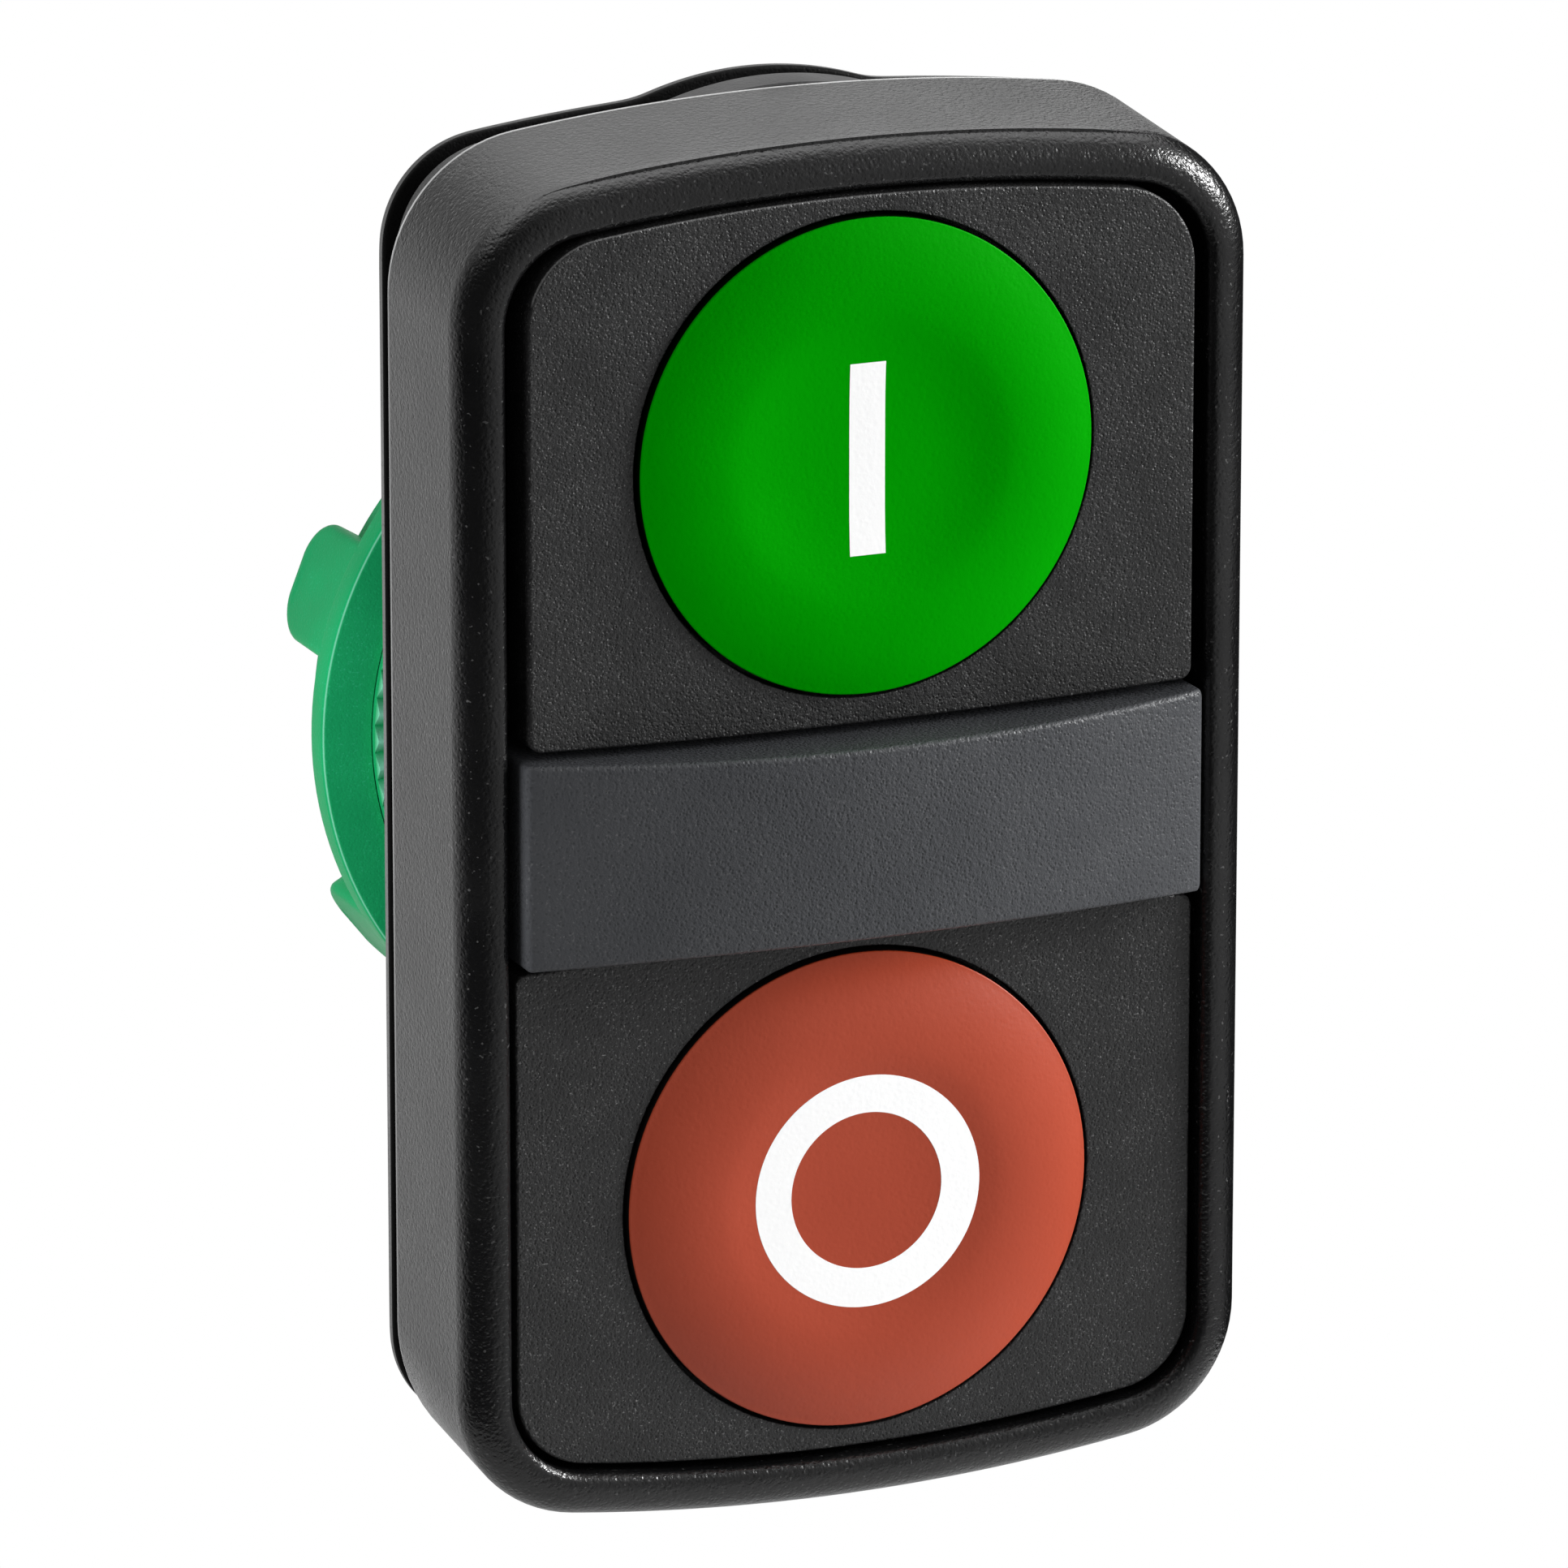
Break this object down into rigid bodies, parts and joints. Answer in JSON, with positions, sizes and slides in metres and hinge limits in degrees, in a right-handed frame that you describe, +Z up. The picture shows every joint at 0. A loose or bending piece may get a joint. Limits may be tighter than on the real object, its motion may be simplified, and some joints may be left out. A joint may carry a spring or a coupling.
{
  "type": "double push-button head",
  "caption": "Push-button head with dished green start and red stop caps on sprung plates either side of a bowed grey strip, in a rounded black housing with seal, barrel and ring nut.",
  "frame": {"origin": "centre of the panel cut-out, on the panel's front face, where the seal's rear face lies", "axes": "+Y back through the panel along the barrel, +Z up the face, +X to the right seen from the front"},
  "size_m": [0.03, 0.0271, 0.0507],
  "materials": {
    "housing_black": "fine satin grain",
    "body_black": "plain moulded",
    "seal_rubber": "matt rubber",
    "strip_grey": "grained",
    "carrier_black": "plain moulded",
    "guide_grey": "plain moulded",
    "stem_rubber": "matt rubber",
    "spring_steel": "drawn wire",
    "plate_charcoal": "spark-eroded texture",
    "cap_green": "satin",
    "mark_white": "satin",
    "plunger_grey": "plain moulded",
    "collar_steel": "pressed",
    "cap_red": "satin",
    "nut_green": "satin, glass filled"
  },
  "bodies": {
    "housing": {"front_housing": "housing_black", "rear_body": "body_black", "panel_seal": "seal_rubber", "centre_strip": "strip_grey", "strip_carrier": "carrier_black", "plunger_guide": "guide_grey", "start_stem_seal": "stem_rubber", "stop_stem_seal": "stem_rubber", "start_spring": "spring_steel", "stop_spring": "spring_steel"},
    "start_button": {"start_plate": "plate_charcoal", "start_cap": "cap_green", "start_mark": "mark_white", "start_plunger": "plunger_grey", "start_spring_collar": "collar_steel"},
    "stop_button": {"stop_plate": "plate_charcoal", "stop_cap": "cap_red", "stop_mark": "mark_white", "stop_plunger": "plunger_grey", "stop_spring_collar": "collar_steel"},
    "ring": {"lock_ring": "nut_green"},
    "nut": {"fixing_nut": "nut_green"}
  },
  "joints": [
    {"name": "start_press", "type": "slide", "parent": "housing", "child": "start_button", "axis": [0, 1, 0], "range_m": [0, 0.0032], "stiffness_N_per_m": 900, "springref_m": -0.002, "deforming": ["start_spring"]},
    {"name": "stop_press", "type": "slide", "parent": "housing", "child": "stop_button", "axis": [0, 1, 0], "range_m": [0, 0.0032], "stiffness_N_per_m": 900, "springref_m": -0.002, "deforming": ["stop_spring"]},
    {"name": "ring_travel", "type": "slide", "parent": "housing", "child": "ring", "axis": [0, 1, 0], "range_m": [-0.00545, 0.003]},
    {"name": "nut_turn", "type": "hinge", "parent": "ring", "child": "nut", "pos_m": [0, 0.00705, 0], "axis": [0, 1, 0], "range_deg": [-1309, 721]}
  ],
  "couplings": [
    {"joint": "nut_turn", "follows": "ring_travel", "rad_per_m": 4188.8}
  ]
}
